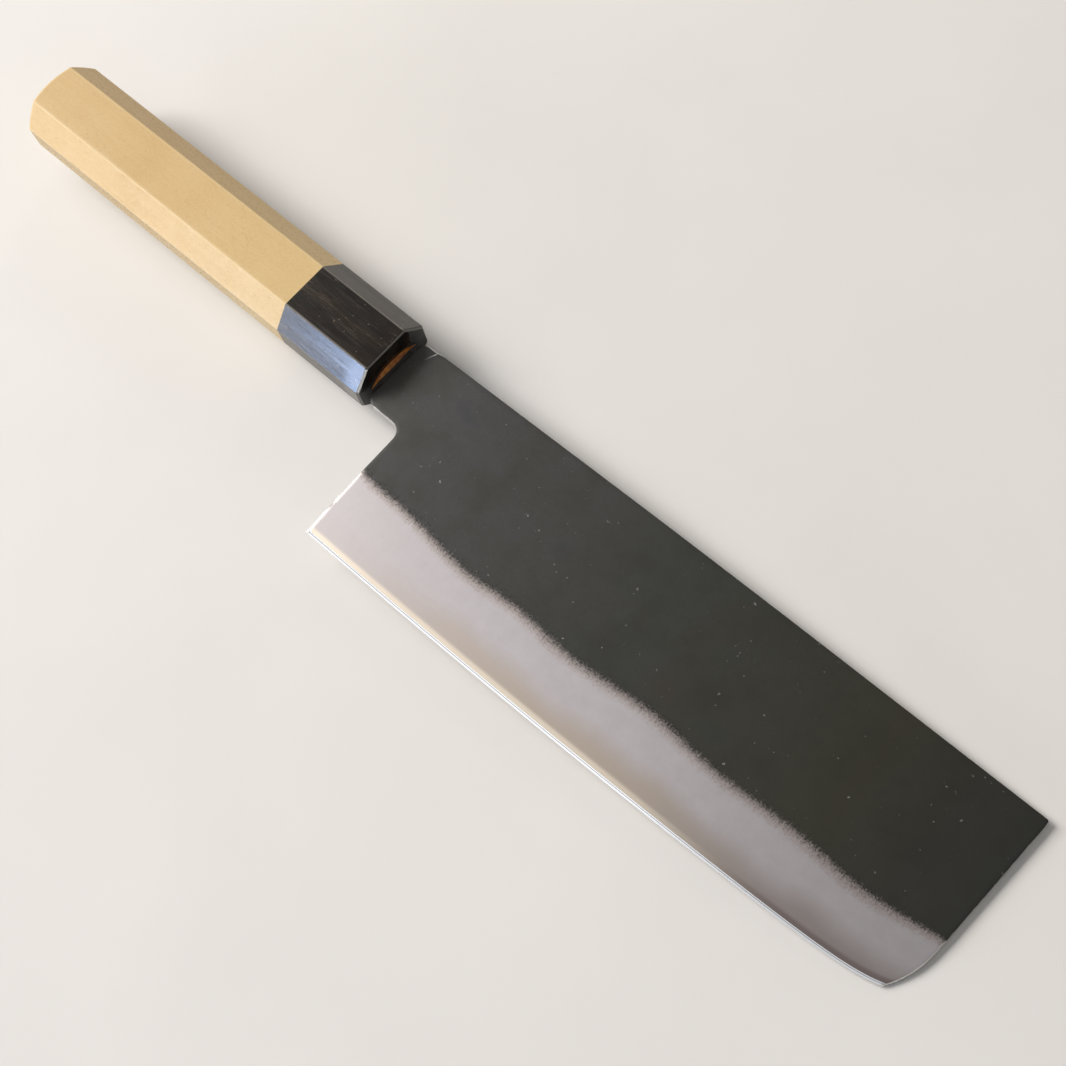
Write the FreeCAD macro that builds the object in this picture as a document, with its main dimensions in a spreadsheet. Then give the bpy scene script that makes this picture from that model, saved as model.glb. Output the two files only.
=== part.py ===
import FreeCAD, Part
import math
import os
import Sketcher
from FreeCAD import Placement, Rotation, Vector

# A nakiri: a Japanese vegetable knife with a tall, straight, double-bevelled blade.
#
# The blade is forge-welded from three layers, with hard edge steel between two soft-iron
# claddings, and all three run on into the hidden tang. The handle is an eight-sided magnolia
# body whose oval tenon passes through an eight-sided horn ferrule, and the tang is burned into
# a tapered socket along the middle of the tenon and the body.
#
# The knife is drawn about the handle's axis: X runs from the butt to the front of the blade
# with zero at the ferrule's front face, Y points to the spine and Z to the blade's right side.
# Every finished piece is then moved by the same step, so that the origin is below the middle of
# the whole knife, level with the lowest line of the handle as the knife lies on its left side.

DRIVING_SIZES = [
    # The handle, in millimetres: four pairs of planed facets that draw in to the front.
    ("wood_length", 100.5, "magnolia body, from the top of the domed butt to the ferrule"),
    ("ferrule_length", 28.4, "horn ferrule"),
    ("butt_height", 24.5, "across the top and bottom facets at the butt, along Y"),
    ("front_height", 23.7, "the same at the ferrule's front face"),
    ("butt_width", 19.2, "across the side facets at the butt, along Z"),
    ("front_width", 18.4, "the same at the ferrule's front face"),
    ("butt_slope", 23.0, "across the sloping facets at the butt"),
    ("front_slope", 22.2, "the same at the ferrule's front face"),
    ("slope_angle", 48.0, "degrees by which the sloping facets turn from the side facets"),
    ("facet_round", 0.3, "eased edges between the facets"),
    ("dome_radius", 26.0, "radius of the domed butt"),
    ("rim_bevel", 0.5, "small bevel round the rim of the butt"),
    ("ferrule_bevel", 0.4, "small bevel round the ferrule's front face"),
    # The joint between the body and the ferrule.
    ("tenon_height", 16.6, "oval tenon of the body, along Y"),
    ("tenon_width", 6.6, "oval tenon of the body, along Z"),
    ("glue_gap", 0.05, "room for glue round the tenon"),
    # The tang, which tapers to its end inside the handle.
    ("machi_gap", 1.7, "open gap between the ferrule and the neck's shoulders"),
    ("tang_length", 92.0, "tang, from the neck's shoulders to its end"),
    ("tang_front_height", 10.4, "tang height at the shoulders"),
    ("tang_end_height", 5.2, "tang height at its end"),
    ("tang_front_width", 2.9, "tang thickness at the shoulders"),
    ("tang_end_width", 2.0, "tang thickness at its end"),
    ("socket_gap", 0.08, "room round the tang in the burned socket"),
    ("socket_spare", 2.0, "empty length of the socket past the end of the tang"),
    # The side view of the blade.
    ("neck_rise", 9.4, "top of the neck's shoulder above the axis"),
    ("neck_drop", 11.05, "underside of the neck below the axis"),
    ("neck_round", 2.2, "rounded corners of the neck's shoulders"),
    ("choil_radius", 3.3, "curve between the neck and the heel"),
    ("heel_reach", 13.85, "heel line in front of the ferrule"),
    ("heel_depth", 44.85, "cutting edge below the axis at the heel"),
    ("spine_bend_reach", 92.0, "middle of the slight bend in the spine"),
    ("spine_bend_rise", 11.12, "height of that bend above the axis"),
    ("spine_radius", 5000.0, "radius of the slight bend in the spine"),
    ("blade_reach", 183.65, "front top corner of the blade"),
    ("blade_rise", 11.65, "height of the front top corner above the axis"),
    ("tip_round", 0.8, "rounded front top corner"),
    ("nose_reach", 182.1, "where the leaning front line turns to the edge"),
    ("nose_depth", 34.5, "depth of that turn below the axis"),
    ("nose_radius", 24.0, "curve of the front line down to the edge"),
    ("belly_rise", 5.6, "long lift of the cutting edge towards the front"),
    ("belly_power", 2.3, "how late that lift begins"),
    ("toe_rise", 5.3, "short lift of the cutting edge at its very front"),
    ("toe_power", 26.0, "how late the short lift begins"),
    # The cross-section of the blade.
    ("spine_heel_width", 3.6, "spine thickness at the neck"),
    ("spine_front_width", 1.9, "spine thickness at the front"),
    ("shoulder_width", 3.1, "neck thickness at the shoulders"),
    ("shoulder_run", 3.5, "length over which the neck thins to its shoulders"),
    ("bevel_height", 18.3, "height of the ground bevel above the edge at the heel"),
    ("bevel_rise", 2.2, "how much the bevel line climbs to the front"),
    ("bevel_heel_width", 2.3, "blade thickness on the bevel line at the heel"),
    ("bevel_front_width", 1.5, "blade thickness on the bevel line at the front"),
    ("micro_height", 0.8, "height of the fine sharpened bevel"),
    ("micro_width", 0.32, "blade thickness at the top of the sharpened bevel"),
    ("core_heel_width", 1.2, "thickness of the edge-steel layer from the tang to the neck"),
    ("core_front_width", 0.9, "thickness of the edge-steel layer at the front"),
    ("grind_spare", 1.2, "extra forged metal that is cut off along the outline"),
]

DERIVED_SIZES = [
    ("handle_length", "=wood_length + ferrule_length", "whole handle"),
    ("tang_end", "=machi_gap - tang_length", "end of the tang along X"),
    ("tang_height_slope", "=(tang_front_height - tang_end_height) / tang_length", "per millimetre"),
    ("tang_width_slope", "=(tang_front_width - tang_end_width) / tang_length", "per millimetre"),
    ("bar_start", "=machi_gap + shoulder_run", "where the blade has its full thickness"),
    ("bar_length", "=blade_reach + grind_spare - bar_start", "ground length of the bar"),
    ("bar_top", "=blade_rise + grind_spare", "top of the bar before the spine is cut"),
    ("bevel_line_y", "=bevel_height - heel_depth", "the bevel line at the heel, along Y"),
    ("shoulder_bevel_width",
     "=bevel_heel_width * shoulder_width / spine_heel_width", "bevel line at the shoulders"),
    ("clear_reach", "=handle_length + blade_reach", "a distance past every side of the knife"),
    ("move_x", "=(handle_length - blade_reach) / 2", "from the ferrule's face to the origin"),
    ("move_y", "=(heel_depth - butt_height / 2) / 2", "from the axis to the origin"),
    ("move_z", "=butt_width / 2", "from the middle plane to the resting plane"),
]

document = FreeCAD.newDocument("Nakiri")

# ----------------------------------------------------------------------------------------------
# The sheet of sizes
# ----------------------------------------------------------------------------------------------

sheet = document.addObject("Spreadsheet::Sheet", "Sizes")
for row, (name, value, meaning) in enumerate(DRIVING_SIZES + DERIVED_SIZES, start=1):
    sheet.set(f"A{row}", name)
    sheet.set(f"B{row}", str(value))
    sheet.setAlias(f"B{row}", name)
    sheet.set(f"C{row}", meaning)
document.recompute()


# ----------------------------------------------------------------------------------------------
# Sketches whose points are tied to the sheet
# ----------------------------------------------------------------------------------------------

def new_sketch(body, name, plane, along_normal=None):
    """A sketch on one of the body's origin planes, moved along its normal by an expression."""
    sketch = body.newObject("Sketcher::SketchObject", name)
    support = next(f for f in body.Origin.OriginFeatures if f.Role == plane)
    sketch.AttachmentSupport = [(support, "")]
    sketch.MapMode = "FlatFace"
    if along_normal:
        sketch.setExpression("AttachmentOffset.Base.z", along_normal)
    return sketch


def tie(sketch, kind, expression, *geometry):
    """Add a dimension whose value is an expression on the sheet."""
    value = sketch.evalExpression(expression)
    index = sketch.addConstraint(Sketcher.Constraint(kind, *geometry, value))
    sketch.setExpression(f"Constraints[{index}]", expression)


def place_point(sketch, geometry, end, x, y):
    """Hold one point of the sketch at the place that two expressions give."""
    tie(sketch, "DistanceX", x, -1, 1, geometry, end)
    tie(sketch, "DistanceY", y, -1, 1, geometry, end)


def draw_loop(sketch, corners):
    """A closed loop of straight sides. A corner is (x, y), or (x, y, radius) where it is round."""
    count = len(corners)
    points = [Vector(*(sketch.evalExpression(e) for e in corner[:2]), 0) for corner in corners]
    enters = list(points)
    leaves = list(points)
    rounds = {}
    for i, corner in enumerate(corners):
        if len(corner) == 2:
            continue
        radius = sketch.evalExpression(corner[2])
        back = (points[i - 1] - points[i]).normalize()
        ahead = (points[(i + 1) % count] - points[i]).normalize()
        half_angle = back.getAngle(ahead) / 2
        enters[i] = points[i] + back * (radius / math.tan(half_angle))
        leaves[i] = points[i] + ahead * (radius / math.tan(half_angle))
        centre = points[i] + (back + ahead).normalize() * (radius / math.sin(half_angle))
        rounds[i] = (centre, radius)

    sides = []
    for i in range(count):
        side = Part.LineSegment(leaves[i], enters[(i + 1) % count])
        sides.append(sketch.addGeometry(side, False))

    for i, corner in enumerate(corners):
        before, after = sides[i - 1], sides[i]
        if i not in rounds:
            sketch.addConstraint(Sketcher.Constraint("Coincident", before, 2, after, 1))
            place_point(sketch, after, 1, corner[0], corner[1])
            continue
        centre, radius = rounds[i]
        turn_in, turn_out = enters[i] - centre, leaves[i] - centre
        counter_clockwise = turn_in.cross(turn_out).z > 0
        first, last = (turn_in, turn_out) if counter_clockwise else (turn_out, turn_in)
        circle = Part.Circle(centre, Vector(0, 0, 1), radius)
        arc = sketch.addGeometry(
            Part.ArcOfCircle(circle, math.atan2(first.y, first.x), math.atan2(last.y, last.x)))
        start, end = (1, 2) if counter_clockwise else (2, 1)
        sketch.addConstraint(Sketcher.Constraint("Tangent", before, 2, arc, start))
        sketch.addConstraint(Sketcher.Constraint("Tangent", after, 1, arc, end))
        tie(sketch, "Radius", corner[2], arc)
        tip = sketch.addGeometry(Part.Point(points[i]), True)
        sketch.addConstraint(Sketcher.Constraint("PointOnObject", tip, 1, before))
        sketch.addConstraint(Sketcher.Constraint("PointOnObject", tip, 1, after))
        place_point(sketch, tip, 1, corner[0], corner[1])


def rectangle(sketch, height, width):
    """An upright rectangle with its middle on the sketch's origin."""
    draw_loop(sketch, [
        (f"({height}) / 2", f"({width}) / 2"),
        (f"-({height}) / 2", f"({width}) / 2"),
        (f"-({height}) / 2", f"-({width}) / 2"),
        (f"({height}) / 2", f"-({width}) / 2"),
    ])


def loft(body, name, sections, ruled=True, cut=False):
    """A solid through the sections in order, added to the body or cut from it."""
    kind = "SubtractiveLoft" if cut else "AdditiveLoft"
    feature = body.newObject(f"PartDesign::{kind}", name)
    feature.Profile = sections[0]
    feature.Sections = sections[1:]
    feature.Ruled = ruled
    return feature


def move_to_part_frame(piece):
    """Bring a finished piece from the handle's axis to the frame of the whole part."""
    for axis in "xyz":
        piece.setExpression(f"Placement.Base.{axis}", f"Sizes.move_{axis}")


# ----------------------------------------------------------------------------------------------
# The forged and ground blade, before it is told apart into its layers
# ----------------------------------------------------------------------------------------------

STATIONS = 15


def tapered(heel_size, front_size, share):
    """A size that changes evenly from the neck to the front of the blade."""
    return f"(Sizes.{heel_size} + (Sizes.{front_size} - Sizes.{heel_size}) * {share})"


def bar_section(body, name, along, top_width, bevel_width, share):
    """The blade's cross-section, seen along X: flat sides, ground bevels and a fine edge."""
    edge = (f"(Sizes.belly_rise * pow({share}; Sizes.belly_power)"
            f" + Sizes.toe_rise * pow({share}; Sizes.toe_power) - Sizes.heel_depth)")
    micro = f"({edge} + Sizes.micro_height)"
    bevel = f"(Sizes.bevel_line_y + Sizes.bevel_rise * {share})"
    section = new_sketch(body, name, "YZ_Plane", along)
    draw_loop(section, [
        ("Sizes.bar_top", f"{top_width} / 2"),
        (bevel, f"{bevel_width} / 2"),
        (micro, "Sizes.micro_width / 2"),
        (edge, "0"),
        (micro, "-Sizes.micro_width / 2"),
        (bevel, f"-{bevel_width} / 2"),
        ("Sizes.bar_top", f"-{top_width} / 2"),
    ])
    return section


blade = document.addObject("PartDesign::Body", "ForgedBlade")

stations = []
for i in range(STATIONS):
    share = round(i / (STATIONS - 1), 6)
    along = f"Sizes.bar_start + Sizes.bar_length * {share}"
    top_width = tapered("spine_heel_width", "spine_front_width", share)
    bevel_width = tapered("bevel_heel_width", "bevel_front_width", share)
    stations.append(bar_section(blade, f"Station{i}", along, top_width, bevel_width, share))
ground_bar = loft(blade, "GroundBar", stations, ruled=False)

# The neck thins a little towards its shoulders.
shoulder = bar_section(blade, "ShoulderSection", "Sizes.machi_gap",
                       "Sizes.shoulder_width", "Sizes.shoulder_bevel_width", 0)
neck = loft(blade, "Neck", [shoulder, stations[0]])

# The side view: everything outside this outline is cut away. The edge is left as it is ground,
# because the front line turns at the nose and runs out at 45 degrees below it.
outline = new_sketch(blade, "SideOutline", "XY_Plane")
draw_loop(outline, [
    ("Sizes.machi_gap", "Sizes.neck_rise", "Sizes.neck_round"),
    ("Sizes.spine_bend_reach", "Sizes.spine_bend_rise", "Sizes.spine_radius"),
    ("Sizes.blade_reach", "Sizes.blade_rise", "Sizes.tip_round"),
    ("Sizes.nose_reach", "-Sizes.nose_depth", "Sizes.nose_radius"),
    ("Sizes.nose_reach - Sizes.heel_depth", "-Sizes.nose_depth - Sizes.heel_depth"),
    ("Sizes.heel_reach", "-Sizes.nose_depth - Sizes.heel_depth"),
    ("Sizes.heel_reach", "-Sizes.neck_drop", "Sizes.choil_radius"),
    ("Sizes.machi_gap", "-Sizes.neck_drop", "Sizes.neck_round"),
])
rectangle(outline, "2 * Sizes.clear_reach", "2 * Sizes.clear_reach")
trim = blade.newObject("PartDesign::Pocket", "TrimToOutline")
trim.Profile = outline
trim.Type = "ThroughAll"
trim.SideType = "Symmetric"

# The tang grows from the shoulders back into the handle.
tang_front = new_sketch(blade, "TangFront", "YZ_Plane", "Sizes.machi_gap")
tang_back = new_sketch(blade, "TangBack", "YZ_Plane", "Sizes.tang_end")
rectangle(tang_front, "Sizes.tang_front_height", "Sizes.tang_front_width")
rectangle(tang_back, "Sizes.tang_end_height", "Sizes.tang_end_width")
tang = loft(blade, "Tang", [tang_front, tang_back])
document.recompute()

# ----------------------------------------------------------------------------------------------
# The three forge-welded layers: slabs of the blade that meet face to face
# ----------------------------------------------------------------------------------------------

BACK = "Sizes.tang_end - Sizes.grind_spare"
FRONT = "Sizes.blade_reach + Sizes.grind_spare"


def layer(name, top, bottom):
    """One layer of the blade: what lies between two faces, given as places along Z.

    Each face is given by its place at the neck and its place at the front. It is level from the
    tang to the neck, and slopes from there to the front.
    """
    slab = document.addObject("PartDesign::Body", f"{name}_slab")
    section = new_sketch(slab, f"{name}_section", "XZ_Plane")
    draw_loop(section, [
        (BACK, top[0]),
        ("Sizes.bar_start", top[0]),
        (FRONT, top[1]),
        (FRONT, bottom[1]),
        ("Sizes.bar_start", bottom[0]),
        (BACK, bottom[0]),
    ])
    pad = slab.newObject("PartDesign::Pad", f"{name}_pad")
    pad.Profile = section
    pad.SideType = "Symmetric"
    pad.setExpression("Length", "2 * Sizes.clear_reach")
    common = document.addObject("Part::MultiCommon", name)
    common.Shapes = [blade, slab]
    return common


# The two welds, and two faces that lie clear outside the blade's sides.
CORE_TOP = ("Sizes.core_heel_width / 2", "Sizes.core_front_width / 2")
CORE_BOTTOM = ("-Sizes.core_heel_width / 2", "-Sizes.core_front_width / 2")
OUTER_TOP = ("Sizes.spine_heel_width", "Sizes.spine_heel_width")
OUTER_BOTTOM = ("-Sizes.spine_heel_width", "-Sizes.spine_heel_width")

layers = [
    layer("cladding_right", OUTER_TOP, CORE_TOP),
    layer("edge_steel", CORE_TOP, CORE_BOTTOM),
    layer("cladding_left", CORE_BOTTOM, OUTER_BOTTOM),
]

# ----------------------------------------------------------------------------------------------
# The eight facets of the handle, shared by the magnolia body and the ferrule
# ----------------------------------------------------------------------------------------------

# Each pair of opposite facets: its name, the way it faces round the axis, and its own sizes.
FACET_PAIRS = [
    ("SideFacets", "0", "width"),
    ("TopAndBottomFacets", "90", "height"),
    ("RisingFacets", "Sizes.slope_angle", "slope"),
    ("FallingFacets", "-Sizes.slope_angle", "slope"),
]


def edges_between(feature, back, front):
    """Names of a feature's edges that lie wholly between two places along X."""
    names = []
    for number, edge in enumerate(feature.Shape.Edges, start=1):
        if all(back < vertex.X < front for vertex in edge.Vertexes):
            names.append(f"Edge{number}")
    return names


def planed_bar(body, back, length):
    """An eight-sided bar, planed from a square block one pair of facets at a time."""
    block_section = new_sketch(body, "BlockSection", "YZ_Plane", back)
    rectangle(block_section, "2 * Sizes.butt_height", "2 * Sizes.butt_height")
    block = body.newObject("PartDesign::Pad", "Block")
    block.Profile = block_section
    block.setExpression("Length", length)
    for name, angle, size in FACET_PAIRS:
        waste = new_sketch(body, f"{name}Waste", "XZ_Plane")
        waste.AttachmentOffset = Placement(Vector(0, 0, 0), Rotation(Vector(1, 0, 0), 1))
        waste.setExpression("AttachmentOffset.Rotation.Angle", angle)
        rectangle(waste, "2 * Sizes.clear_reach", "2 * Sizes.clear_reach")
        draw_loop(waste, [
            ("-Sizes.handle_length", f"Sizes.butt_{size} / 2"),
            ("0", f"Sizes.front_{size} / 2"),
            ("0", f"-Sizes.front_{size} / 2"),
            ("-Sizes.handle_length", f"-Sizes.butt_{size} / 2"),
        ])
        facets = body.newObject("PartDesign::Pocket", name)
        facets.Profile = waste
        facets.Type = "ThroughAll"
        facets.SideType = "Symmetric"
    document.recompute()
    return facets


def ease_facets(body, feature, length):
    """Round the long edges where the facets meet: those that run on for over half the length."""
    least_run = feature.evalExpression(length) / 2
    names = []
    for number, edge in enumerate(feature.Shape.Edges, start=1):
        ends = [vertex.X for vertex in edge.Vertexes]
        if max(ends) - min(ends) > least_run:
            names.append(f"Edge{number}")
    eased = body.newObject("PartDesign::Fillet", "EasedEdges")
    eased.Base = (feature, names)
    eased.setExpression("Radius", "Sizes.facet_round")


def oval(sketch, height, width):
    """A flat-sided oval round the axis: two straight sides between two half-round ends."""
    reach = f"(({height}) - ({width})) / 2"
    radius = f"({width}) / 2"
    half_length = sketch.evalExpression(reach)
    half_width = sketch.evalExpression(radius)
    ends = []
    for side in (1, -1):
        circle = Part.Circle(Vector(side * half_length, 0, 0), Vector(0, 0, 1), half_width)
        start = -side * math.pi / 2
        ends.append(sketch.addGeometry(Part.ArcOfCircle(circle, start, start + math.pi)))
        start_point = Vector(side * half_length, side * half_width, 0)
        end_point = Vector(-side * half_length, side * half_width, 0)
        ends.append(sketch.addGeometry(Part.LineSegment(start_point, end_point)))
    for i in range(4):
        sketch.addConstraint(Sketcher.Constraint("Tangent", ends[i], 2, ends[(i + 1) % 4], 1))
    front_end, back_end = ends[0], ends[2]
    place_point(sketch, front_end, 3, reach, "0")
    place_point(sketch, back_end, 3, f"-{reach}", "0")
    tie(sketch, "Radius", radius, front_end)
    sketch.addConstraint(Sketcher.Constraint("Equal", front_end, back_end))


# ----------------------------------------------------------------------------------------------
# The magnolia body with its domed butt, its tenon and the socket for the tang
# ----------------------------------------------------------------------------------------------

handle_body = document.addObject("PartDesign::Body", "handle_body")
planed_bar(handle_body, "-Sizes.handle_length", "Sizes.wood_length")

# What lies outside the ball of the dome is turned away about the handle's axis.
dome = new_sketch(handle_body, "DomeCut", "XZ_Plane")
centre_x = "Sizes.dome_radius - Sizes.handle_length"
behind_x = "-Sizes.dome_radius - Sizes.handle_length"
centre = Vector(dome.evalExpression(centre_x), 0, 0)
radius = dome.evalExpression("Sizes.dome_radius")
behind = dome.evalExpression(behind_x)
ball = Part.Circle(centre, Vector(0, 0, 1), radius)
arc = dome.addGeometry(Part.ArcOfCircle(ball, math.pi / 2, math.pi))
corners = [Vector(centre.x - radius, 0, 0), Vector(behind, 0, 0),
           Vector(behind, radius, 0), Vector(centre.x, radius, 0)]
sides = [dome.addGeometry(Part.LineSegment(*pair)) for pair in zip(corners, corners[1:])]
for before, after in zip([arc] + sides, sides + [arc]):
    dome.addConstraint(Sketcher.Constraint("Coincident", before, 2, after, 1))
place_point(dome, arc, 3, centre_x, "0")
place_point(dome, arc, 2, "-Sizes.handle_length", "0")
tie(dome, "DistanceX", centre_x, -1, 1, arc, 1)
place_point(dome, sides[1], 1, behind_x, "0")
dome.addConstraint(Sketcher.Constraint("Vertical", sides[1]))
dome.addConstraint(Sketcher.Constraint("Horizontal", sides[2]))
dome_cut = handle_body.newObject("PartDesign::Groove", "DomedButt")
dome_cut.Profile = dome
dome_cut.ReferenceAxis = (dome, ["H_Axis"])
dome_cut.Angle = 360
document.recompute()

# The rim's edges are the ones that lie wholly in the back half of the handle.
middle_x = dome.evalExpression("-Sizes.handle_length / 2")
rim = handle_body.newObject("PartDesign::Chamfer", "RimBevel")
rim.Base = (dome_cut, edges_between(dome_cut, behind, middle_x))
rim.setExpression("Size", "Sizes.rim_bevel")
document.recompute()
ease_facets(handle_body, rim, "Sizes.wood_length")

tenon_section = new_sketch(handle_body, "TenonSection", "YZ_Plane", "-Sizes.ferrule_length")
oval(tenon_section, "Sizes.tenon_height", "Sizes.tenon_width")
tenon = handle_body.newObject("PartDesign::Pad", "Tenon")
tenon.Profile = tenon_section
tenon.setExpression("Length", "Sizes.ferrule_length")

# The socket follows the tapered tang and runs a little past its end.
socket_back = "(Sizes.tang_end - Sizes.socket_spare)"
socket_front_section = new_sketch(handle_body, "SocketFront", "YZ_Plane", "Sizes.machi_gap")
socket_back_section = new_sketch(handle_body, "SocketBack", "YZ_Plane", socket_back)
spare_height = "Sizes.tang_height_slope * Sizes.socket_spare"
spare_width = "Sizes.tang_width_slope * Sizes.socket_spare"
rectangle(socket_front_section,
          "Sizes.tang_front_height + 2 * Sizes.socket_gap",
          "Sizes.tang_front_width + 2 * Sizes.socket_gap")
rectangle(socket_back_section,
          f"Sizes.tang_end_height + 2 * Sizes.socket_gap - {spare_height}",
          f"Sizes.tang_end_width + 2 * Sizes.socket_gap - {spare_width}")
socket = loft(handle_body, "TangSocket", [socket_front_section, socket_back_section], cut=True)
document.recompute()

# ----------------------------------------------------------------------------------------------
# The horn ferrule with its oval bore
# ----------------------------------------------------------------------------------------------

ferrule = document.addObject("PartDesign::Body", "ferrule")
horn_bar = planed_bar(ferrule, "-Sizes.ferrule_length", "Sizes.ferrule_length")
middle_x = horn_bar.evalExpression("-Sizes.ferrule_length / 2")
past_x = horn_bar.evalExpression("Sizes.ferrule_length")
front_bevel = ferrule.newObject("PartDesign::Chamfer", "FrontBevel")
front_bevel.Base = (horn_bar, edges_between(horn_bar, middle_x, past_x))
front_bevel.setExpression("Size", "Sizes.ferrule_bevel")
document.recompute()
ease_facets(ferrule, front_bevel, "Sizes.ferrule_length")
bore_section = new_sketch(ferrule, "BoreSection", "YZ_Plane")
oval(bore_section, "Sizes.tenon_height + 2 * Sizes.glue_gap",
     "Sizes.tenon_width + 2 * Sizes.glue_gap")
bore = ferrule.newObject("PartDesign::Pocket", "Bore")
bore.Profile = bore_section
bore.Type = "ThroughAll"
bore.SideType = "Symmetric"

# ----------------------------------------------------------------------------------------------
# The finished pieces in the part's frame
# ----------------------------------------------------------------------------------------------

pieces = layers + [handle_body, ferrule]
for piece in pieces:
    move_to_part_frame(piece)
document.recompute()

for item in document.Objects:
    if "Invalid" in item.State or "Error" in item.State:
        raise RuntimeError(f"{item.Label} did not build: {item.State}")
for piece in pieces:
    if piece.Shape.isNull() or not piece.Shape.isValid():
        raise RuntimeError(f"{piece.Label} has no valid solid")

os.makedirs("parts", exist_ok=True)
for piece in pieces:
    piece.Shape.exportStep(f"parts/{piece.Label}.step")
    box = piece.Shape.BoundBox
    print(f"{piece.Label}: {len(piece.Shape.Solids)} solid, {piece.Shape.Volume:.1f} cubic mm, "
          f"x {box.XMin:.2f}..{box.XMax:.2f}  y {box.YMin:.2f}..{box.YMax:.2f}  "
          f"z {box.ZMin:.2f}..{box.ZMax:.2f}")
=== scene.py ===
import math

import bmesh
import bpy
import numpy as np
from mathutils import Euler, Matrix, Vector


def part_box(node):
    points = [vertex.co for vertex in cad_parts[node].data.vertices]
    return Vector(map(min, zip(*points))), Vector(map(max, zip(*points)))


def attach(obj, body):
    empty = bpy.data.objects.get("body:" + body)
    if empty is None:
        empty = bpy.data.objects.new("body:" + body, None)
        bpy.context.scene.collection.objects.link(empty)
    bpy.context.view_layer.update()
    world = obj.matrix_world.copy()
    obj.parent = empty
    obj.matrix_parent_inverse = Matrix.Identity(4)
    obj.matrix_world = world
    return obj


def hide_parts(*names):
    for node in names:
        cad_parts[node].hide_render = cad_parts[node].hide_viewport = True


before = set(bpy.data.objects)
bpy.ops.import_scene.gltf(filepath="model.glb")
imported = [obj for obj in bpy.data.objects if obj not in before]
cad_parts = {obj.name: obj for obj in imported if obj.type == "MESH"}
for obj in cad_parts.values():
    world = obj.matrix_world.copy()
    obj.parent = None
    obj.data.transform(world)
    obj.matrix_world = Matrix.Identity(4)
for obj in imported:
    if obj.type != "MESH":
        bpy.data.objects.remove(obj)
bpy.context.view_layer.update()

# ------------------------------------------------------------------------------------------
# The blade: three layers forge-welded into one bar, soft iron on both sides of hard steel.
# It is drawn out under the hammer, which leaves black scale and a faintly wavy flat, then
# the bevels are ground on a wheel and finished on whetstones down to the cutting edge.
# ------------------------------------------------------------------------------------------

# The knife's own axes start where the handle's middle line leaves the ferrule: x runs to
# the front of the blade, y to the spine and z to the blade's right side, in millimetres.
MM = 0.001
ferrule_low, ferrule_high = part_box("ferrule")
KNIFE_ORIGIN = np.array([
    ferrule_high.x,
    (ferrule_low.y + ferrule_high.y) / 2,
    (ferrule_low.z + ferrule_high.z) / 2,
])

# Side view.
NECK_BACK = 1.7
NECK_RISE = 9.4
NECK_DROP = 11.05
NECK_ROUND = 2.2
CHOIL_RADIUS = 3.3
HEEL_X = 13.85
HEEL_DEPTH = 44.85
SPINE_BEND_X = 92.0
SPINE_BEND_Y = 11.12
SPINE_RADIUS = 5000.0
FRONT_X = 183.65
FRONT_Y = 11.65
TIP_ROUND = 0.8
NOSE_X = 182.1
NOSE_DEPTH = 34.5
NOSE_RADIUS = 24.0
BELLY_RISE = 5.6
BELLY_POWER = 2.3
TOE_RISE = 5.3
TOE_POWER = 26.0
# Cross-section, as half thicknesses at the neck and at the front.
BAR_START = 5.2
BAR_LENGTH = 179.65
BAR_TOP = 12.85
SPINE_HALF = (1.8, 0.95)
BEVEL_HALF = (1.15, 0.75)
CORE_HALF = (0.6, 0.45)
SHOULDER_SHARE = 3.1 / 3.6
BEVEL_LINE_Y = -26.55
BEVEL_LINE_CLIMB = 2.2
MICRO_HEIGHT = 0.8
MICRO_HALF = 0.16
EASED = 0.22
# The weld wanders by two sines, each with its length over a radian, height and start.
WELD_WAVES = ((7.9, 0.022, 0.0), (3.1, 0.014, 1.3))
# The ground line lies low, on three slow waves, and climbs by a height at the heel and at
# the front that fades over a length. The flat is sunk by a share of all that.
LINE_DROP = -0.7
LINE_WAVES = ((150, 0.53, -0.71), (75, 0.24, 2.04), (37, 0.19, -0.41))
HEEL_CLIMB, HEEL_FADE = 2.3, 8
FRONT_CLIMB, FRONT_FADE = 3.4, 6
SINK_SHARE = 0.037
# The hammer's waves: how many, from what to what length, and their height for that length.
HAMMER_WAVES = 26
HAMMER_LENGTHS = (10, 48)
HAMMER_SHARE = 0.00009
RIGHT_SEED = 5
LEFT_SEED = 11
# The neck's ridge: where it starts to lean forward, its top, and the rubbed spot behind it,
# which gets a painted highlight.
RIDGE_LOW_Y = 5.0
RIDGE_LEAN = 0.42
RIDGE_TOP = (6.9, 9.1)
RUBBED_GLINT_SPOT = (5.5, 9.1)
RUBBED_GLINT_RADIUS = 2.2
# The tang, which tapers inside the handle.
TANG_END = -90.3
TANG_HALF_HEIGHT = (2.6, 5.2)
TANG_HALF_WIDTH = (1.0, 1.45)
# Size of the mesh's cells on the flats and on the neck, and what counts as one point.
CELL = 0.75
NECK_CELL = 0.5
MERGED = 0.002


def spread(ends, share):
    """A size that changes evenly between its two end values."""
    return ends[0] + (ends[1] - ends[0]) * share


def along_bar(x):
    """Share of the ground length, from 0 at the neck to 1 at the front."""
    return np.clip((x - BAR_START) / BAR_LENGTH, 0, 1)


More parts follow.
